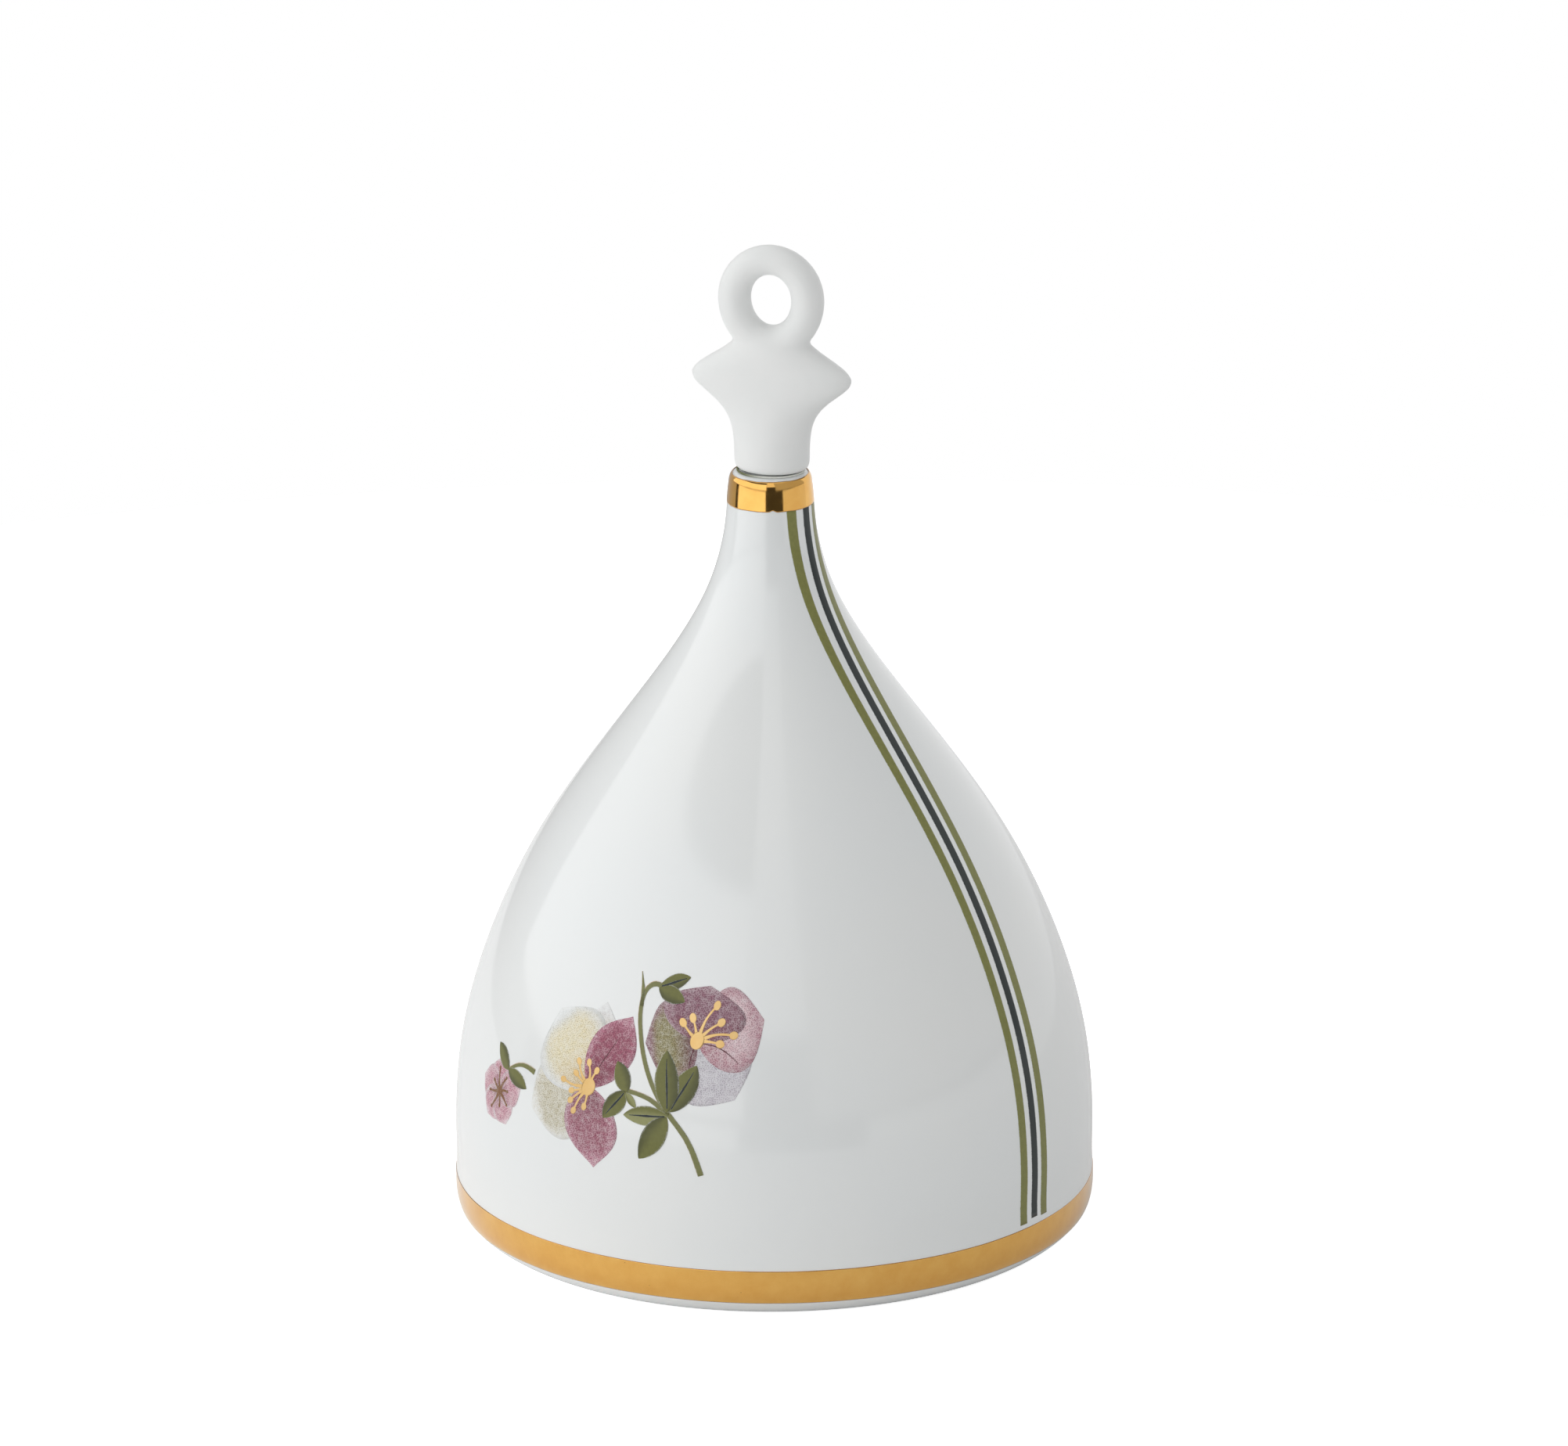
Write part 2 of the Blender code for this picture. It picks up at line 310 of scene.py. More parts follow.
def node(tree, kind, inputs=None, **settings):
    """New node of a kind, with its settings and its inputs by name or number."""
    made = tree.nodes.new(kind)
    for setting, value in settings.items():
        setattr(made, setting, value)
    for key, value in (inputs or {}).items():
        plug(tree, made.inputs[key], value)
    return made


def place_of(tree):
    return node(tree, "ShaderNodeTexCoord").outputs["Object"]


def noise(tree, size, detail=3.0, roughness=0.5):
    """Noise value whose features are about this many millimetres across."""
    made = node(tree, "ShaderNodeTexNoise", {
        "Vector": place_of(tree), "Scale": 1 / (size * MM), "Detail": detail, "Roughness": roughness,
    })
    return made.outputs["Fac"]


def spread(tree, value, low, high, new_low, new_high, smooth=False):
    kind = "SMOOTHSTEP" if smooth else "LINEAR"
    made = node(tree, "ShaderNodeMapRange", {
        "Value": value, "From Min": low, "From Max": high, "To Min": new_low, "To Max": new_high,
    }, interpolation_type=kind)
    return made.outputs["Result"]


def calc(tree, operation, a, b=0.0, clamp=False):
    made = node(tree, "ShaderNodeMath", {0: a, 1: b}, operation=operation, use_clamp=clamp)
    return made.outputs["Value"]


def blend(tree, share, a, b, mode="MIX"):
    made = node(tree, "ShaderNodeMix", data_type="RGBA", blend_type=mode)
    plug(tree, made.inputs[0], share)
    plug(tree, made.inputs[6], a)
    plug(tree, made.inputs[7], b)
    return made.outputs[2]


def bump(tree, height, depth, strength=1.0):
    """Normal of a bump this many millimetres deep."""
    made = node(tree, "ShaderNodeBump", {"Height": height, "Distance": depth * MM, "Strength": strength})
    return made.outputs["Normal"]


def specks(tree, size, amount):
    """Mask of sparse round specks: 1 inside a speck, in this share of the cells."""
    cells = node(tree, "ShaderNodeTexVoronoi", {"Vector": place_of(tree), "Scale": 1 / (size * MM)})
    chance = node(tree, "ShaderNodeSeparateColor", {"Color": cells.outputs["Color"]}).outputs["Red"]
    rare = calc(tree, "LESS_THAN", chance, amount)
    dot = spread(tree, cells.outputs["Distance"], 0.03, 0.06, 1.0, 0.0, smooth=True)
    return calc(tree, "MULTIPLY", rare, dot)


def glossy_glaze(shader):
    """Fixed finish of the fired glaze."""
    shader.inputs["Roughness"].default_value = 0.32
    shader.inputs["IOR"].default_value = 1.5
    shader.inputs["Coat Weight"].default_value = 0.9
    shader.inputs["Coat Roughness"].default_value = 0.035
    shader.inputs["Coat IOR"].default_value = 1.52


def glaze_body(tree):
    """Colour and ripple that bare glaze and the print under it share."""
    cloud = spread(tree, noise(tree, 26.0, 2.0), 0.35, 0.65, 0.0, 1.0)
    white = blend(tree, cloud, PORCELAIN, srgb(236, 239, 239))
    speck = specks(tree, 2.6, 0.006)
    colour = blend(tree, speck, white, srgb(196, 184, 168))
    ripple = calc(tree, "ADD", noise(tree, 9.0, 2.0), calc(tree, "MULTIPLY", noise(tree, 1.6, 1.0), 0.12))
    return colour, ripple


def make_glaze():
    material, tree, shader = new_material("white glaze")
    colour, ripple = glaze_body(tree)
    plug(tree, shader.inputs["Base Color"], colour)
    plug(tree, shader.inputs["Coat Normal"], bump(tree, ripple, 0.02, 0.5))
    glossy_glaze(shader)
    return material


def make_print():
    """Printed enamel: where its cover is full it is solid ink, and elsewhere a screen of dots over a wash."""
    material, tree, shader = new_material("printed enamel")
    white, ripple = glaze_body(tree)
    ink = node(tree, "ShaderNodeAttribute", attribute_name="ink").outputs["Color"]
    shade = node(tree, "ShaderNodeAttribute", attribute_name="shade").outputs["Color"]
    cover = node(tree, "ShaderNodeAttribute", attribute_name="cover").outputs["Fac"]
    sheet = node(tree, "ShaderNodeAttribute", attribute_name="sheet").outputs["Vector"]
    cells = node(tree, "ShaderNodeTexVoronoi", {
        "Vector": sheet, "Scale": 1 / DOT_PITCH, "Randomness": 0.7,
    }, voronoi_dimensions="2D")
    blotch = spread(tree, noise(tree, 0.6, 2.0, 0.6), 0.3, 0.7, -0.15, 0.15)
    solid = spread(tree, cover, 0.85, 1.0, 0.0, 1.0)
    dense = calc(tree, "ADD", cover, blotch)
    reach = spread(tree, dense, 0.0, 1.0, 0.05, 0.5)
    dot = calc(tree, "MULTIPLY", calc(tree, "SUBTRACT", reach, cells.outputs["Distance"]), 6.0, clamp=True)
    wash = calc(tree, "MULTIPLY", dense, 1.05, clamp=True)
    dotted = blend(tree, dot, blend(tree, wash, white, ink), shade)
    mottle = spread(tree, noise(tree, 0.5, 2.0), 0.3, 0.7, 0.94, 1.06)
    even = blend(tree, 1.0, ink, node(tree, "ShaderNodeCombineColor", {
        "Red": mottle, "Green": mottle, "Blue": mottle,
    }).outputs["Color"], "MULTIPLY")
    plug(tree, shader.inputs["Base Color"], blend(tree, solid, dotted, even))
    plug(tree, shader.inputs["Coat Normal"], bump(tree, ripple, 0.02, 0.5))
    glossy_glaze(shader)
    plug(tree, shader.inputs["Coat Weight"], spread(tree, cover, 0.3, 1.0, 0.8, 0.25))
    plug(tree, shader.inputs["Specular IOR Level"], spread(tree, cover, 0.3, 1.0, 0.45, 0.2))
    return material


def make_bisque():
    material, tree, shader = new_material("matt bisque")
    cloud = spread(tree, noise(tree, 6.0, 3.0), 0.3, 0.7, 0.0, 1.0)
    white = blend(tree, cloud, BISQUE, srgb(236, 238, 237))
    plug(tree, shader.inputs["Base Color"], blend(tree, specks(tree, 3.0, 0.01), white, srgb(200, 196, 188)))
    plug(tree, shader.inputs["Roughness"], spread(tree, noise(tree, 0.8), 0.3, 0.7, 0.42, 0.52))
    grain = calc(tree, "ADD", noise(tree, 0.25, 2.0), calc(tree, "MULTIPLY", noise(tree, 3.0), 2.0))
    plug(tree, shader.inputs["Normal"], bump(tree, grain, 0.012, 0.6))
    shader.inputs["Coat Weight"].default_value = 0.12
    shader.inputs["Coat Roughness"].default_value = 0.3
    return material


def make_gold(name, colour, roughness, gloss=0.0):
    """Fired gold film with burnished cloudiness, fine unevenness and pinholes. gloss is its clear coat."""
    material, tree, shader = new_material(name)
    cloud = spread(tree, noise(tree, 2.5, 4.0, 0.6), 0.3, 0.7, 0.0, 1.0)
    warm = tuple(c * f for c, f in zip(colour[:3], (0.93, 0.86, 0.74)))
    body = blend(tree, cloud, colour, (*warm, 1.0))
    edge = node(tree, "ShaderNodeAttribute", attribute_name="edge").outputs["Fac"]
    body = blend(tree, edge, body, srgb(150, 104, 84))
    plug(tree, shader.inputs["Base Color"], blend(tree, specks(tree, 1.1, 0.12), body, srgb(120, 76, 40)))
    rougher = spread(tree, noise(tree, 0.9), 0.3, 0.7, roughness, roughness + 0.07)
    plug(tree, shader.inputs["Roughness"], rougher)
    plug(tree, shader.inputs["Normal"], bump(tree, noise(tree, 0.7, 3.0), 0.004, 0.5))
    shader.inputs["Metallic"].default_value = 1.0
    shader.inputs["Coat Weight"].default_value = gloss
    shader.inputs["Coat Roughness"].default_value = 0.05
    return material


def make_brass():
    """Drawn brass wire, dulled and darker in patches."""
    material, tree, shader = new_material("drawn brass")
    patch = spread(tree, noise(tree, 2.2, 4.0, 0.6), 0.4, 0.7, 0.0, 1.0)
    colour = blend(tree, patch, (0.78, 0.56, 0.24, 1.0), (0.52, 0.35, 0.15, 1.0))
    plug(tree, shader.inputs["Base Color"], colour)
    plug(tree, shader.inputs["Roughness"], spread(tree, patch, 0.0, 1.0, 0.24, 0.42))
    plug(tree, shader.inputs["Normal"], bump(tree, noise(tree, 0.3, 2.0), 0.01, 0.5))
    shader.inputs["Metallic"].default_value = 1.0
    return material


def make_cement():
    """Whitish cement, olive on its left side: partly the cement's own colour and partly painted shade of the
    joint.
    """
    material, tree, shader = new_material("cement")
    grain = noise(tree, 0.5, 5.0, 0.7)
    across = node(tree, "ShaderNodeSeparateXYZ", {"Vector": place_of(tree)}).outputs["X"]
    # Olive on the left: partly the cement's colour, partly painted shade of the gap under the finial.
    olive_tint_and_shade = spread(tree, across, -3.0 * MM, 0.5 * MM, 1.0, 0.0, smooth=True)
    pale = blend(tree, spread(tree, grain, 0.3, 0.7, 0.0, 1.0), srgb(222, 223, 212), srgb(238, 239, 234))
    plug(tree, shader.inputs["Base Color"], blend(tree, olive_tint_and_shade, pale, srgb(118, 122, 88)))
    plug(tree, shader.inputs["Normal"], bump(tree, grain, 0.06, 0.8))
    shader.inputs["Roughness"].default_value = 0.85
    return material


glaze = make_glaze()
print_ink = make_print()
bisque = make_bisque()
gold = make_gold("bright gold", GOLD, 0.06, 0.6)
stamen_gold = make_gold("printed gold", PRINT_GOLD, 0.3)
brass = make_brass()
cement = make_cement()


# ---------------------------------------------------------------- bell and finial

def bell_body():
    """Glazed body, with a ground foot ring left bare.
    Known fault: INNER_POINTS ends with corners of the pin's hole and the socket, so the inside runs on up the
    neck and crosses the socket, where it should stop at the web's flat underside."""
    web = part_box("hanger_washer")[0].z / MM - GAP
    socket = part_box("finial_cement")[1].x / MM + GAP
    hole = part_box("hanger_washer")[1].x / MM - HOLE_IN_WASHER
    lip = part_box("bell_body")[1].z / MM
    outside = curve_through([(r * SLIM, z) for r, z in reversed(OUTER_POINTS)], PROFILE_SPACING)
    inside = curve_through(INNER_POINTS[:-1], PROFILE_SPACING)
    underside = INNER_POINTS[-1][1]
    outline = [(socket, lip - 0.2), (socket + 0.15, lip - 0.03), (socket + 0.3, lip)]
    outline += [tuple(point) for point in outside]
    outline += [tuple(point) for point in inside]
    outline += [(hole, underside), (hole, web), (socket, web)]
    body = turned("bell_body_glazed", outline, BELL_STEPS, glaze)
    body.data.materials.append(bisque)
    for face in body.data.polygons:
        face.material_index = int(face.center.z < 0.05 * MM)
    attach(body, "bell")
    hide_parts("bell_body")


def applied(obj):
    """Swap an object's mesh for the result of its modifiers."""
    graph = bpy.context.evaluated_depsgraph_get()
    mesh = bpy.data.meshes.new_from_object(obj.evaluated_get(graph))
    obj.modifiers.clear()
    obj.data = mesh


def fit_to(obj, node_name):
    """Scale a mesh so that its box is that of a CAD node."""
    low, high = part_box(node_name)
    spots = np.array([v.co for v in obj.data.vertices])
    scale = np.array(high - low) / (spots.max(0) - spots.min(0))
    shift = np.array(low) - spots.min(0) * scale
    obj.data.transform(Matrix.Translation(shift) @ Matrix.Diagonal((*scale, 1)))


def finial():
    """Cast finial: the CAD solid with its facets and joins melted into one soft form."""
    bm = bmesh.new()
    bm.from_mesh(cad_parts["finial"].data)
    bmesh.ops.remove_doubles(bm, verts=bm.verts, dist=TINY / 2)
    obj = finish_mesh("finial_bisque", bm, bisque)
    remesh = obj.modifiers.new("even mesh", "REMESH")
    remesh.mode = "VOXEL"
    remesh.voxel_size = FINIAL_VOXEL * MM
    melt = obj.modifiers.new("melt", "SMOOTH")
    melt.factor = 0.5
    melt.iterations = FINIAL_MELT_ROUNDS
    applied(obj)
    obj.data.shade_smooth()
    fit_to(obj, "finial")
    shift = Matrix.Translation((FINIAL_SHIFT * MM, 0, 0))
    obj.data.transform(shift @ Matrix.Diagonal((1, 1, FINIAL_HEIGHT_SCALE, 1)))
    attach(obj, "bell")
    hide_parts("finial")


def cement_sleeve():
    """Cement round the finial's spigot."""
    low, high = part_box("finial_cement")
    outer = high.x / MM
    inner = outer - 0.4
    corners = [(inner, high.z / MM), (outer, high.z / MM), (outer, low.z / MM), (inner, low.z / MM)]
    obj = turned("finial_cement_sleeve", rounded(corners, 0.1), 64, cement)
    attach(obj, "bell")
    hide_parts("finial_cement")


def cement_bead():
    """Uneven bead of cement squeezed out where the finial sits on the lip."""
    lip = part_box("bell_body")[1].z / MM
    bm = bmesh.new()
    steps, sides = 120, 10
    rings = []
    for i in range(steps):
        turn = math.tau * i / steps
        swell = BEAD_SWELL + 0.05 * math.sin(turn * 2 + 2.4) + 0.02 * math.sin(turn * 7)
        across = BEAD_ACROSS + 0.05 * math.sin(turn * 3)
        deep = BEAD_DEEP + 0.04 * math.sin(turn * 5)
        ring = []
        for k in range(sides):
            around = math.tau * k / sides
            out = swell * math.cos(around)
            ring.append(bm.verts.new((
                (across + out) * math.cos(turn) * MM,
                (deep + out) * math.sin(turn) * MM,
                (lip + BEAD_RISE + BEAD_RISE * math.sin(around)) * MM,
            )))
        rings.append(ring)
    for ring, beyond in zip(rings, rings[1:] + rings[:1]):
        for k in range(sides):
            n = (k + 1) % sides
            bm.faces.new((ring[k], beyond[k], beyond[n], ring[n]))
    bmesh.ops.recalc_face_normals(bm, faces=bm.faces)
    obj = finish_mesh("cement_bead", bm, cement, 80)
    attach(obj, "bell")


# ---------------------------------------------------------------- gold bands and lines

def waver(turn, size, seed):
    """Slow hand-painted waver round the bell that joins up with itself."""
    waves = ((3, 1.0), (7, 0.6), (13, 0.5), (29, 0.3))
    return size * sum(share * math.sin(count * turn + seed * count) for count, share in waves) / 2.4


def gold_band(name, low, high, seed, nick=0.0):
    """Band of gold right round the bell, browner at its edges. A nick lifts its lower edge at the front."""
    columns = 360
    rows = 14
    fringe = 0.12
    nick_turn = math.radians(VIEW_AZIMUTH + 3)
    nick_width = 0.06
    spots, edge = [], []
    for row in range(rows):
        for column in range(columns):
            turn = math.tau * column / columns
            bottom = low + waver(turn, 0.05, seed)
            bottom += nick * math.exp(-((turn - nick_turn) / nick_width) ** 2)
            top = high + waver(turn, 0.04, seed + 2)
            if row == 0 or row == rows - 1:
                height = bottom if row == 0 else top
            else:
                height = bottom + fringe + (top - bottom - 2 * fringe) * (row - 1) / (rows - 3)
            spots.append((turn, height))
            edge.append(0.75 if row in (0, rows - 1) else 0.0)
    return film(name, spots, grid_faces(rows, columns, wrap=True), FILM * 2, gold, {"edge": edge})


def line(name, offset, width, bottom, ink):
    """Printed line up a meridian. offset gives its distance from the middle line at each height."""
    fringe = 0.1
    rows = 130
    across = (-width / 2, -width / 2 + fringe, 0.0, width / 2 - fringe, width / 2)
    spots, cover = [], []
    for height in np.linspace(bottom, LINE_TOP, rows):
        for side in across:
            azimuth = math.radians(LINE_AZIMUTH) + (offset(height) + side) / wall_radius(height)
            spots.append((azimuth, height))
            cover.append(0.5 if abs(side) == width / 2 else 1.0)
    marks = {"ink": [ink] * len(spots), "shade": [ink] * len(spots), "cover": cover}
    return film(name, spots, grid_faces(rows, len(across)), FILM, print_ink, marks)


def line_drift(height):
    """Lean of the three lines off their meridian near the foot."""
    return float(np.interp(height, (10, 32), (-0.25, 0.0)))


def left_gap(height):
    """Distance from the dark line's middle to the left olive line's."""
    return float(np.interp(height, (40, 85), (2.28, 2.5)))


# ---------------------------------------------------------------- flower spray

def sheet_spots(points):
    return [(u / SHEET_RADIUS, v) for u, v in points]


def blade(base, aim, length, width, full=0.6, blunt=0.5, point=0.0, lean=0.0, wave=0.0):
    """Grid of a petal or leaf: rows run from base to tip and columns across it.
    full and blunt are how quickly it widens from the base and closes to the tip. point sharpens the tip,
    and lean bends it."""
    way = Vector((math.cos(math.radians(aim)), math.sin(math.radians(aim))))
    side = Vector((way.y, -way.x))
    peak = full / (full + blunt)
    most = peak ** full * (1 - peak) ** blunt
    points, along, across = [], [], []
    for row in range(BLADE_ROWS):
        share = (1 - math.cos(math.pi * row / (BLADE_ROWS - 1))) / 2
        half = width / 2 * share ** full * (1 - share) ** (blunt + point * share ** 4) / most
        half *= 1 + wave * math.sin(9 * share + base[0])
        middle = Vector(base) + way * length * share + side * lean * math.sin(math.pi * share / 2) ** 2
        for column in range(BLADE_COLUMNS):
            place = 2 * column / (BLADE_COLUMNS - 1) - 1
            points.append(tuple(middle + side * half * place))
            along.append(share)
            across.append(place)
    return points, grid_faces(BLADE_ROWS, BLADE_COLUMNS), along, across


def ease(value, low, high):
    share = min(1.0, max(0.0, (value - low) / (high - low)))
    return share * share * (3 - 2 * share)


def mix(a, b, share):
    return tuple(x * (1 - share) + y * share for x, y in zip(a, b))


def petal(name, base, aim, length, width, inks, cover, lift, fade=0.15, blunt=0.4, **shape):
    """Petal in three inks: at its heart, in its belly and along its edge, where fade thins the print."""
    points, faces, along, across = blade(base, aim, length, width, blunt=blunt, point=0.45, **shape)
    heart, belly, rim = inks
    ink, shade, thick = [], [], []
    for far, out in zip(along, across):
        edge = max(abs(out) ** 1.6, ease(far, 0.55, 1.0))
        colour = mix(mix(heart, belly, ease(far, 0.05, 0.55)), rim, ease(edge, 0.35, 0.95))
        colour = mix(colour, heart, 0.4 * ease(out, 0.1, 1.0) * (1 - far))
        ink.append(colour)
        shade.append(tuple(c * 0.6 for c in colour[:3]) + (1.0,))
        thick.append(cover * (1 - fade * ease(edge, 0.6, 1.0)))
    marks = {"ink": ink, "shade": shade, "cover": thick}
    return film(name, sheet_spots(points), faces, lift, print_ink, marks)


def leaf(name, base, aim, length, width, lift, inks=(OLIVE, DEEP_OLIVE), vein=True, **shape):
    """Leaf with one side darker and, unless vein is off, a slate vein."""
    points, faces, along, across = blade(base, aim, length, width, full=0.75, blunt=0.85, **shape)
    ink = [mix(inks[0], inks[1], ease(out, -0.2, 0.9)) for out in across]
    cover = [0.6 if abs(out) > 0.99 else 1.0 for out in across]
    marks = {"ink": ink, "shade": ink, "cover": cover}
    film(name, sheet_spots(points), faces, lift, print_ink, marks)
    if vein:
        middle = [points[row * BLADE_COLUMNS + BLADE_COLUMNS // 2] for row in range(4, 20, 3)]
        ribbon(name + "_vein", middle, (0.16, 0.3, 0.08), lift + 0.008, SLATE)


def disc(centre, radius, aim=0.0, stretch=1.0):
    """Oval print spot that reaches past its centre along an aim."""
    way = Vector((math.cos(math.radians(aim)), math.sin(math.radians(aim))))
    base = Vector(centre) - way * radius * stretch
    points, faces, _, _ = blade(base, aim, 2 * radius * stretch, 2 * radius, full=0.5, blunt=0.5)
    return points, faces


def stroke(through, widths):
    """Points, faces and cover of a stroke whose width is given at its start, middle and end."""
    path = curve_through(through, 0.25)
    ways = np.gradient(path, axis=0)
    count = len(path)
    across = (-0.5, -0.36, 0.0, 0.36, 0.5)
    points, cover = [], []
    for i, (spot, way) in enumerate(zip(path, ways)):
        side = np.array((way[1], -way[0])) / np.linalg.norm(way)
        width = np.interp(i / (count - 1), (0, 0.5, 1), widths)
        for place in across:
            points.append(tuple(spot + side * width * place))
            cover.append(0.6 if abs(place) == 0.5 else 1.0)
    return points, grid_faces(count, len(across)), cover


def ribbon(name, through, widths, lift, ink):
    """Printed stroke through the points."""
    points, faces, cover = stroke(through, widths)
    marks = {"ink": [ink] * len(points), "shade": [ink] * len(points), "cover": cover}
    return film(name, sheet_spots(points), faces, lift, print_ink, marks)


def stamens(name, heart, body, reaches, anther, material, lift, marks_ink=None):
    """Fan of filaments with anthers round a heart, as one film. reaches gives each one's (aim, length, bend)."""
    points, faces, lifts = [], [], []

    def add(more_points, more_faces, rise):
        faces.extend(tuple(len(points) + i for i in face) for face in more_faces)
        points.extend(more_points)
        lifts.extend([rise] * len(more_points))

    add(*disc(heart, body, 60, 1.15), lift + 0.012)
    for number, (aim, length, bend) in enumerate(reaches):
        way = Vector((math.cos(math.radians(aim)), math.sin(math.radians(aim))))
        side = Vector((-way.y, way.x))
        start = Vector(heart) + way * body * 0.3
        middle = Vector(heart) + way * length * 0.55 + side * bend
        end = Vector(heart) + way * length
        rise = lift + 0.001 * number
        strand, strand_faces, _ = stroke([tuple(start), tuple(middle), tuple(end)], (0.62, 0.3, 0.26))
        add(strand, strand_faces, rise)
        if anther:
            add(*disc(end, anther, aim, 1.2), rise + 0.011)
    marks = None
    if marks_ink:
        count = len(points)
        marks = {"ink": [marks_ink] * count, "shade": [marks_ink] * count, "cover": [0.9] * count}
    return film(name, sheet_spots(points), faces, lifts, material, marks)


def stem(name, through, widths):
    """Olive stem over its tan fringe, which the print leaves showing on the upper left."""
    fringe = [(u - 0.05, v + 0.05) for u, v in through]
    ribbon(name + "_fringe", fringe, widths, FRINGE_LIFT, TAN)
    ribbon(name, through, widths, STEM_LIFT, STEM_OLIVE)


def spray_stems():
    stem("stem_main", [(1.5, 19.5), (-0.6, 24.2), (-3.2, 27.2), (-6.4, 32.0), (-8.2, 37.0), (-8.6, 40.0),
                       (-8.1, 41.7), (-7.0, 42.4), (-5.9, 42.3)], (0.78, 0.62, 0.62))
    stem("stem_spur", [(-8.55, 39.6), (-8.75, 41.6), (-9.4, 43.6)], (0.6, 0.5, 0.08))
    stem("stem_branch", [(-3.0, 26.8), (-5.6, 28.5), (-9.0, 29.2)], (0.75, 0.6, 0.55))
    stem("stem_small", [(-29.9, 27.3), (-28.2, 28.3), (-26.4, 28.7), (-24.4, 28.4)], (0.36, 0.52, 0.75))


def mauve_flower():
    heart = (0.2, 36.3)
    lavender = (srgb(166, 156, 166), srgb(186, 178, 190), srgb(176, 164, 178))
    olive_mauve = (srgb(112, 62, 70), srgb(150, 140, 90), srgb(138, 82, 98))
    mauve = (srgb(128, 54, 74), srgb(142, 88, 108), srgb(150, 98, 116))
    rose = (srgb(166, 80, 102), srgb(216, 176, 184), srgb(176, 100, 122))
    petal("mauve_petal_low", heart, -52, 8.8, 11.6, lavender, 0.56, 0.02, full=0.55)
    petal("mauve_petal_left", heart, 192, 7.4, 10.4, olive_mauve, 0.8, 0.024, full=0.5, lean=0.6)
    petal("mauve_petal_right", heart, 14, 9.6, 10.6, rose, 0.66, 0.028, full=0.6, lean=-0.5)
    petal("mauve_petal_top", heart, 82, 6.7, 12.4, mauve, 0.8, 0.032, full=0.5, lean=0.4)
    ribbon("mauve_crease", [(0.1, 36.0), (-0.5, 34.2), (-0.7, 32.0)], (0.12, 0.2, 0.06), CREASE_LIFT, WINE)
    fold = [(0.6, 36.0), (2.6, 35.8), (4.6, 34.9), (6.0, 33.8)]
    ribbon("mauve_fold", fold, (0.1, 0.16, 0.05), CREASE_LIFT, WINE)
    reaches = ((138, 3.0, 0.1), (108, 2.8, -0.1), (60, 5.0, 0.4),
               (36, 4.0, 0.2), (10, 5.1, 0.4), (-4, 3.2, 0.1))
    stamens("mauve_stamens", heart, 0.95, reaches, 0.5, stamen_gold, STEM_LIFT)


def cream_flower():
    heart = (-14.8, 28.7)
    grey = (srgb(178, 156, 130), srgb(198, 184, 166), srgb(190, 184, 184))
    cream = (srgb(206, 172, 98), srgb(226, 210, 156), srgb(206, 208, 204))
    beige = (srgb(178, 160, 120), srgb(184, 172, 132), srgb(206, 198, 176))
    magenta = (srgb(136, 62, 82), srgb(160, 80, 104), srgb(186, 112, 136))
    petal("cream_petal_back", heart, 86, 10.6, 6.8, grey, 0.42, 0.02, fade=0.6)
    petal("cream_petal_side", heart, 206, 10.4, 11.2, beige, 0.56, 0.024, fade=0.7, full=0.55)
    petal("cream_petal_top", heart, 130, 11.0, 12.6, cream, 0.56, 0.028, fade=0.6, full=0.6)
    petal("cream_petal_low", heart, -86, 10.2, 8.2, magenta, 0.76, 0.032, blunt=0.6, lean=-1.0)
    petal("cream_petal_right", heart, 66, 10.8, 7.0, magenta, 0.86, 0.036, full=0.7, blunt=0.5, lean=0.9)
    crease = [(-14.4, 29.8), (-13.0, 32.4), (-11.3, 35.2)]
    ribbon("cream_crease", crease, (0.08, 0.16, 0.06), CREASE_LIFT, WINE)
    reaches = ((126, 3.5, 0.3), (98, 3.0, -0.2), (150, 2.6, 0.1), (178, 4.2, 0.3), (200, 2.8, 0.1),
               (220, 3.4, -0.1), (240, 3.9, -0.2), (262, 2.6, 0.1), (66, 2.4, 0.1))
    stamens("cream_stamens", heart, 1.0, reaches, 0.4, stamen_gold, STEM_LIFT)


def pink_flower():
    heart = (-31.3, 24.1)
    pink = (srgb(138, 68, 84), srgb(196, 122, 142), srgb(206, 144, 162))
    for number, (aim, length) in enumerate(((96, 4.3), (168, 4.6), (236, 4.5), (300, 4.4), (20, 4.9))):
        lift = 0.02 + 0.004 * number
        name = f"pink_petal_{number + 1}"
        petal(name, heart, aim, length, 5.0, pink, 0.68, lift, fade=0.35, full=0.55, wave=0.04)
    reaches = [(12 + 45 * i, 1.9 + 0.5 * (i % 3), 0.1) for i in range(8)]
    stamens("pink_stamens", heart, 0.5, reaches, 0.2, print_ink, 0.046, srgb(124, 80, 34))


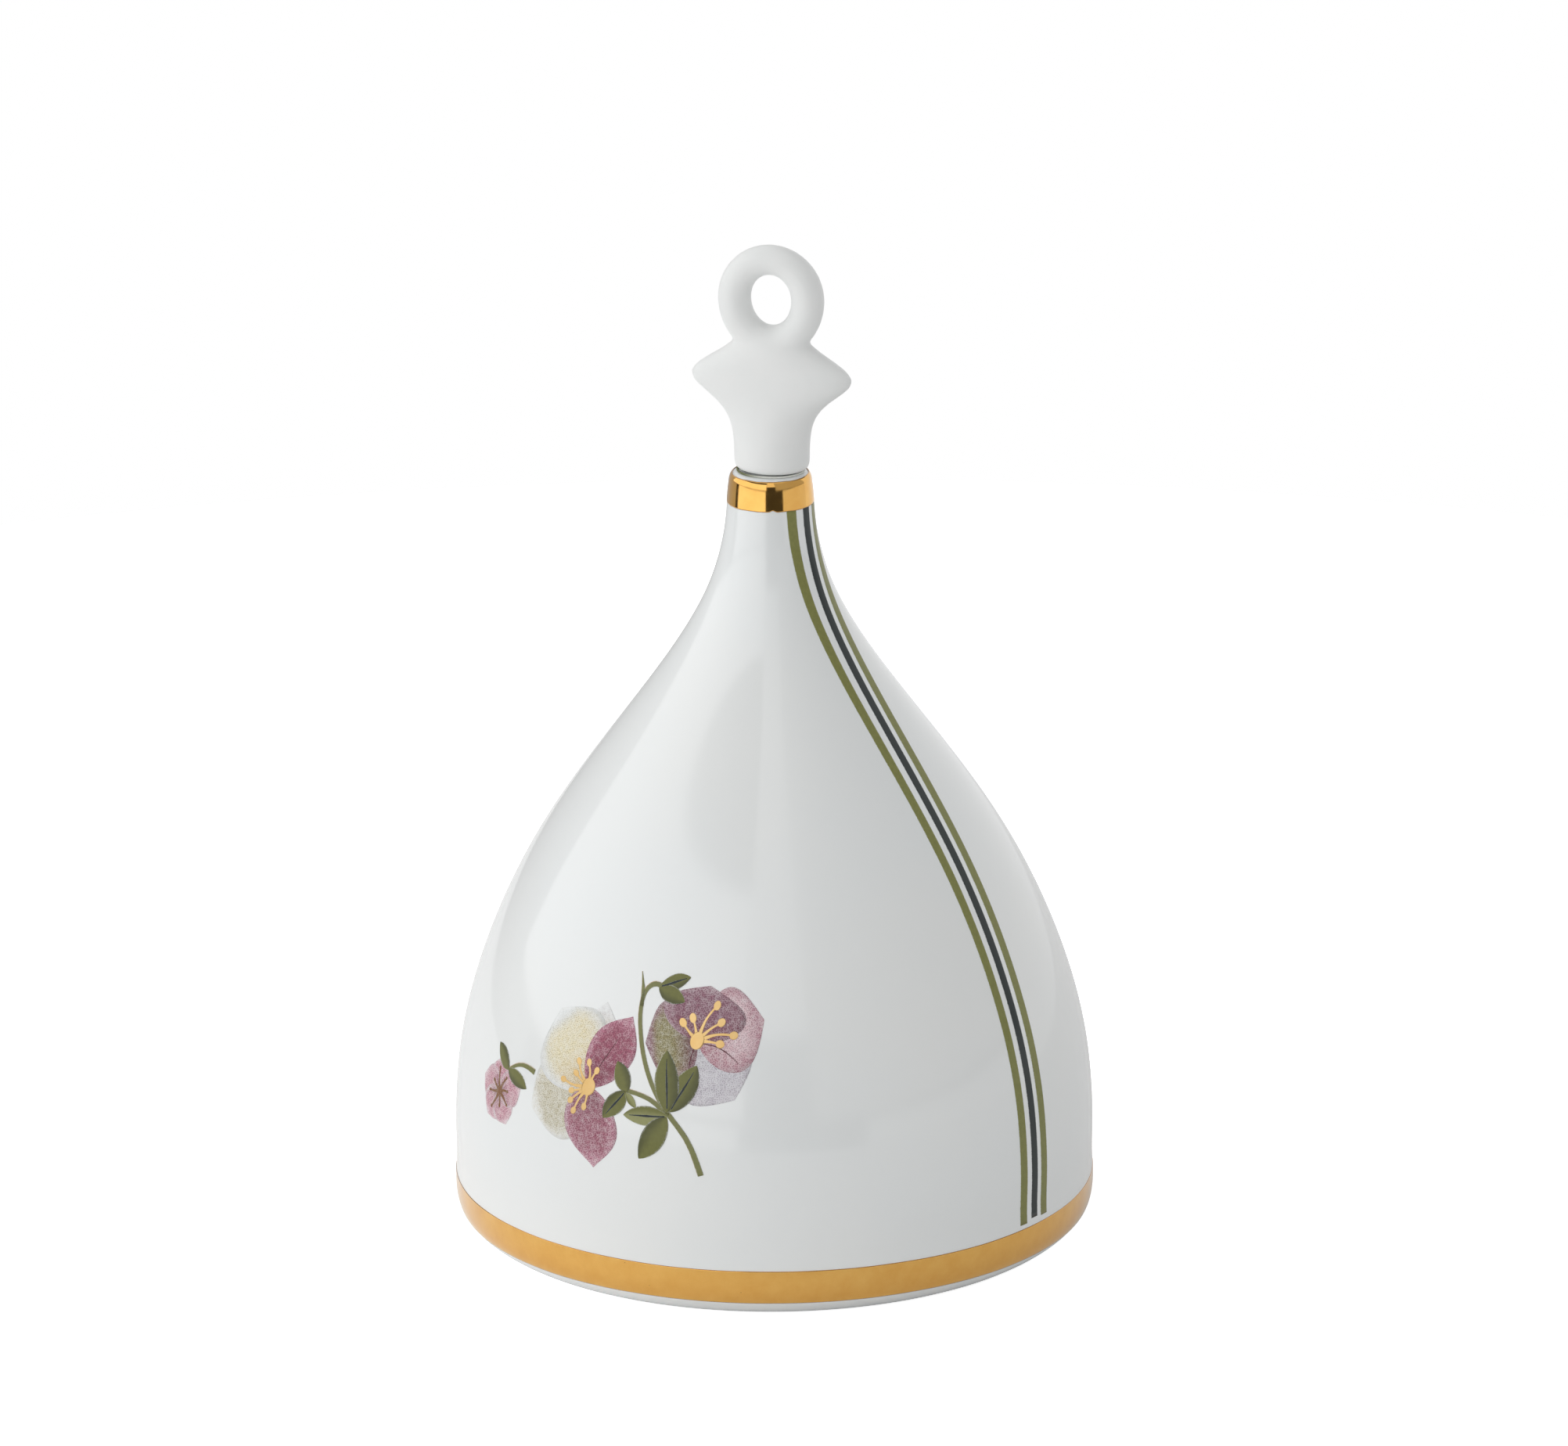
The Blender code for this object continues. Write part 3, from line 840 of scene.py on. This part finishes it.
def spray_leaves():
    """Leaves round each joint of the stem, by base, aim, length and width."""
    light = (PALE_OLIVE, OLIVE)
    leaf("leaf_centre_dark", (-2.8, 27.3), 66, 6.8, 3.4, LEAF_LIFT, lean=0.5)
    leaf("leaf_centre", (-3.2, 27.2), 92, 7.6, 3.4, UPPER_LEAF_LIFT, lean=-0.4)
    leaf("leaf_top_upper", (-6.2, 42.2), 14, 4.8, 1.9, LEAF_LIFT, lean=-0.3)
    leaf("leaf_top_lower", (-6.3, 42.1), -22, 4.4, 2.1, UPPER_LEAF_LIFT, vein=False, lean=-0.3)
    leaf("leaf_low_upper", (-3.1, 26.7), 188, 6.1, 2.5, LEAF_LIFT, light, lean=0.3)
    leaf("leaf_low", (-3.2, 26.6), 236, 6.7, 3.2, UPPER_LEAF_LIFT, vein=False, lean=-0.3)
    leaf("leaf_side_upper", (-8.9, 29.0), 122, 4.1, 2.4, LEAF_LIFT, vein=False, lean=0.2)
    leaf("leaf_side_lower", (-9.2, 29.1), 236, 4.8, 2.6, LEAF_LIFT, lean=0.3)
    leaf("leaf_side_bud", (-9.1, 28.9), -46, 2.3, 1.0, UPPER_LEAF_LIFT, light, vein=False)
    leaf("leaf_small_upper", (-29.8, 27.3), 146, 4.3, 2.0, LEAF_LIFT, vein=False, lean=0.3)
    leaf("leaf_small_lower", (-29.9, 27.4), -22, 4.6, 2.0, LEAF_LIFT, vein=False, lean=-0.3)


# ---------------------------------------------------------------- hanger and clapper

def wire(name, path, radius, body):
    """Round brass wire along a path."""
    curve = bpy.data.curves.new(name, "CURVE")
    curve.dimensions = "3D"
    curve.bevel_depth = radius * MM
    curve.bevel_resolution = 6
    curve.use_fill_caps = True
    rail = curve.splines.new("POLY")
    rail.points.add(len(path) - 1)
    for point, place in zip(rail.points, path):
        point.co = (*(c * MM for c in place), 1)
    guide = bpy.data.objects.new(name + "_guide", curve)
    bpy.context.scene.collection.objects.link(guide)
    mesh = bpy.data.meshes.new_from_object(guide.evaluated_get(bpy.context.evaluated_depsgraph_get()))
    bpy.data.objects.remove(guide)
    mesh.materials.clear()
    mesh.materials.append(brass)
    mesh.shade_smooth()
    obj = bpy.data.objects.new(name, mesh)
    bpy.context.scene.collection.objects.link(obj)
    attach(obj, body)
    return obj


def eye_path(centre, side, up, shank_end):
    """Wire that bends once round an eye and wraps twice round its own shank.
    side is the eye's plane, and up is 1 if the shank leaves it upward and -1 if downward.
    Known fault: the shank has so few points that the curve bows a long one off the axis."""
    side = Vector(side)
    rise = Vector((0, 0, up))
    middle = Vector((0, 0, centre))
    halfway = Vector((0, 0, (shank_end + centre) / 2))
    path = [Vector((0, 0, shank_end)), halfway, middle + rise * (EYE_RADIUS + 1.0)]
    for degrees in range(60, -261, -20):
        turn = math.radians(degrees)
        path.append(middle + (side * math.cos(turn) + rise * math.sin(turn)) * EYE_RADIUS)
    other = side.cross(rise)
    for step in range(1, 10 * WRAP_TURNS + 1):
        turn = math.pi + math.tau * step / 10
        reach = (side * math.cos(turn) + other * math.sin(turn)) * WRAP_RADIUS
        path.append(middle + rise * (EYE_RADIUS + 0.2 + 0.14 * step) + reach)
    return curve_through([tuple(p) for p in path], 0.3)


def plain_ring(name, node, bore, bevel, body):
    """Washer or sleeve with softened edges in a CAD node's place."""
    low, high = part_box(node)
    corners = [(bore, high.z / MM), (high.x / MM, high.z / MM), (high.x / MM, low.z / MM), (bore, low.z / MM)]
    obj = turned(name, rounded(corners, bevel), 64, brass)
    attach(obj, body)
    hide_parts(node)
    return obj


def domed_head(name, radius, flat, crown, body):
    """Domed rivet or pin head on the axis, from its flat side to its crown."""
    turns = np.linspace(0, math.pi / 2, 9)
    arc = [(radius * math.cos(t), flat + (crown - flat) * math.sin(t)) for t in turns]
    outline = [(0.0, flat), (radius - 0.1, flat)] + arc[:-1] + [(0.0, crown)]
    obj = turned(name, outline, 48, brass, closed=False)
    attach(obj, body)
    return obj


def hanger():
    """Headed pin whose wire ends in the eye that holds the clapper, and the washer under its head."""
    low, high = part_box("hanger_pin")
    head = high.z / MM
    eye = low.z / MM + EYE_RADIUS + EYE_WIRE
    pin = wire("hanger_wire", eye_path(eye, (1, 0, 0), 1, head - 0.4), EYE_WIRE, "hanger")
    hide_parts("hanger_pin")
    domed_head("hanger_head", high.y / MM, head - 0.7, head, "hanger")
    plain_ring("hanger_washer_brass", "hanger_washer", BORE, 0.12, "bell")


def clapper():
    """Wire with an eye at its top, and below it the crimp, the ball, the washer and the riveted end."""
    low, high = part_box("clapper_rod")
    end = low.z / MM
    eye = high.z / MM - EYE_RADIUS - EYE_WIRE
    rod = wire("clapper_wire", eye_path(eye, (0, 1, 0), -1, end + 0.6), EYE_WIRE, "clapper")
    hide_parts("clapper_rod")
    domed_head("clapper_rivet", high.x / MM, end + 0.8, end, "clapper")
    plain_ring("clapper_washer_brass", "clapper_washer", BORE, 0.12, "clapper")
    crimp = plain_ring("clapper_crimp_brass", "clapper_crimp", BORE, 0.35, "clapper")
    low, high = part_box("clapper_crimp")
    squeeze(crimp, (low.z + high.z) / 2, (high.z - low.z) / 3)
    ball()


def squeeze(obj, level, reach):
    """Pinch a sleeve from two sides, most at one level."""
    for vert in obj.data.vertices:
        near = math.exp(-((vert.co.z - level) / reach) ** 2)
        if math.hypot(vert.co.x, vert.co.y) > 1.3 * BORE * MM:
            vert.co.y *= 1 - 0.16 * near


def ball():
    """Glazed porcelain ball with a bore whose edges the glaze has rounded."""
    low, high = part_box("clapper_ball")
    radius = high.x / MM
    centre = (low.z + high.z) / 2 / MM
    soft = 0.5
    tilt = math.acos((BORE + soft) / radius)
    arc = [(radius * math.cos(t), centre + radius * math.sin(t)) for t in np.linspace(tilt, -tilt, 48)]
    flat = high.z / MM - centre
    outline = [(BORE, centre + flat - soft)] + [(BORE + 0.15, centre + flat - 0.1)] + arc
    outline += [(BORE + 0.15, centre - flat + 0.1), (BORE, centre - flat + soft)]
    obj = turned("clapper_ball_glazed", outline, 96, glaze)
    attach(obj, "clapper")
    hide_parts("clapper_ball")


bell_body()
finial()
cement_sleeve()
cement_bead()
hanger()
clapper()
gold_band("gold_lower_band", *LOWER_BAND, seed=1.3)
gold_band("gold_collar", *COLLAR, seed=0.4, nick=0.2)
line("line_dark", line_drift, DARK_LINE_WIDTH, LINE_BOTTOM + 0.4, SLATE)
line("line_olive_left", lambda z: line_drift(z) - left_gap(z), SIDE_LINE_WIDTH, LINE_BOTTOM, LINE_OLIVE)
line("line_olive_right", lambda z: line_drift(z) + RIGHT_GAP, SIDE_LINE_WIDTH, LINE_BOTTOM + 0.2, LINE_OLIVE)
pink_flower()
cream_flower()
mauve_flower()
spray_stems()
spray_leaves()


# ---------------------------------------------------------------- camera, light and floor

def camera():
    """Camera to the right of the bell's front and above it, aimed a little above and beside its middle."""
    azimuth, elevation = math.radians(VIEW_AZIMUTH), math.radians(VIEW_ELEVATION)
    level = Vector((math.sin(azimuth), -math.cos(azimuth), 0))
    towards = level * math.cos(elevation) + Vector((0, 0, math.sin(elevation)))
    right = Vector((math.cos(azimuth), math.sin(azimuth), 0))
    up = towards.cross(right)
    pivot = Vector((0, 0, VIEW_PIVOT))
    place = pivot + towards * VIEW_DISTANCE
    aim = pivot + right * AIM_RIGHT + up * AIM_UP
    back = (place - aim).normalized()
    right = up.cross(back).normalized()
    up = back.cross(right)
    turn = Matrix.Rotation(math.radians(VIEW_ROLL), 3, back)
    pose = Matrix((turn @ right, turn @ up, back)).transposed().to_4x4()
    data = bpy.data.cameras.new("camera")
    data.lens = FOCAL
    data.clip_end = 20
    obj = bpy.data.objects.new("camera", data)
    obj.matrix_world = Matrix.Translation(place * MM) @ pose
    bpy.context.scene.collection.objects.link(obj)
    bpy.context.scene.camera = obj


# Soft boxes as (left, right, low, high, brightness), in degrees of azimuth from the camera and of elevation
SOFT_BOXES = (
    (-95, -13, -30, 2, 1.3),
    (-125, -11, 3, 44, 1.3),
    (-12, 14, 20, 60, 0.95),
    (33, 120, -30, 2, 0.75),
    (14, 120, 3, 60, 0.45),
    (-250, -105, -25, 20, 0.42),
    (105, 250, -20, 30, 0.85),
    (-250, -115, 20, 75, 0.8),
)
BOX_EDGE = 2.0
TOP_LIGHT = 1.15
TOP_LIGHT_ELEVATIONS = (50.0, 80.0)
ROOM = 0.06
TABLE_RADIUS = 330.0


def soft_box(tree, azimuth, elevation, box):
    """Brightness of a soft-edged rectangle of sky."""
    left, right, low, high, strength = box
    sides = (
        spread(tree, azimuth, left - BOX_EDGE, left + BOX_EDGE, 0.0, 1.0, smooth=True),
        spread(tree, azimuth, right - BOX_EDGE, right + BOX_EDGE, 1.0, 0.0, smooth=True),
        spread(tree, elevation, low - BOX_EDGE, low + BOX_EDGE, 0.0, 1.0, smooth=True),
        spread(tree, elevation, high - BOX_EDGE, high + BOX_EDGE, strength, 0.0, smooth=True),
    )
    value = sides[0]
    for side in sides[1:]:
        value = calc(tree, "MULTIPLY", value, side)
    return value


def studio_light():
    """Dim room with soft boxes all round and a soft light overhead, and plain white behind the bell."""
    world = bpy.data.worlds.new("studio")
    world.use_nodes = True
    bpy.context.scene.world = world
    tree = world.node_tree
    way = node(tree, "ShaderNodeTexCoord").outputs["Generated"]
    turned_way = node(tree, "ShaderNodeVectorRotate", {
        "Vector": way, "Angle": -math.radians(VIEW_AZIMUTH),
    }, rotation_type="Z_AXIS").outputs["Vector"]
    parts = node(tree, "ShaderNodeSeparateXYZ", {"Vector": turned_way}).outputs
    ahead = calc(tree, "MULTIPLY", parts["Y"], -1.0)
    degrees = math.degrees(1)
    azimuth = calc(tree, "MULTIPLY", calc(tree, "ARCTAN2", parts["X"], ahead), degrees)
    elevation = calc(tree, "MULTIPLY", calc(tree, "ARCSINE", parts["Z"]), degrees)
    boxes = 0.0
    for box in SOFT_BOXES:
        boxes = calc(tree, "MAXIMUM", boxes, soft_box(tree, azimuth, elevation, box))
    top = spread(tree, elevation, *TOP_LIGHT_ELEVATIONS, 0.0, TOP_LIGHT, smooth=True)
    light = calc(tree, "ADD", calc(tree, "ADD", boxes, top), ROOM)
    seen = node(tree, "ShaderNodeLightPath").outputs["Is Camera Ray"]
    strength = calc(tree, "ADD", calc(tree, "MULTIPLY", light, calc(tree, "SUBTRACT", 1.0, seen)), seen)
    plug(tree, tree.nodes["Background"].inputs["Strength"], strength)
    tree.nodes["Background"].inputs["Color"].default_value = (1, 1, 1, 1)


def floor():
    """Round white table top that shows as white but for a faint shadow; as painted light it is paler and glows
    more on the left.
    """
    material, tree, shader = new_material("table top")
    across = node(tree, "ShaderNodeSeparateXYZ", {"Vector": place_of(tree)}).outputs["X"]
    # Painted light: the table's left side is paler, to throw more light on the bell's left and its gold.
    left = spread(tree, across, -50 * MM, 40 * MM, 1.0, 0.0, smooth=True)
    plug(tree, shader.inputs["Base Color"], blend(tree, left, (0.8, 0.8, 0.8, 1.0), (0.94, 0.94, 0.94, 1.0)))
    shader.inputs["Roughness"].default_value = 0.9
    shader.inputs["Specular IOR Level"].default_value = 0.1
    shader.inputs["Emission Color"].default_value = (1, 1, 1, 1)
    seen = node(tree, "ShaderNodeLightPath").outputs["Is Camera Ray"]
    # Painted light: the table glows to rays other than the camera's, more on its left.
    painted_glow = spread(tree, left, 0.0, 1.0, 0.06, 0.14)
    plug(tree, shader.inputs["Emission Strength"], spread(tree, seen, 0.0, 1.0, painted_glow, 0.8))
    bm = bmesh.new()
    bmesh.ops.create_circle(bm, cap_ends=True, radius=TABLE_RADIUS * MM, segments=128)
    obj = finish_mesh("table_top", bm, material)
    obj.location.z = -TINY


camera()
studio_light()
floor()
bpy.context.scene.view_settings.view_transform = "Standard"
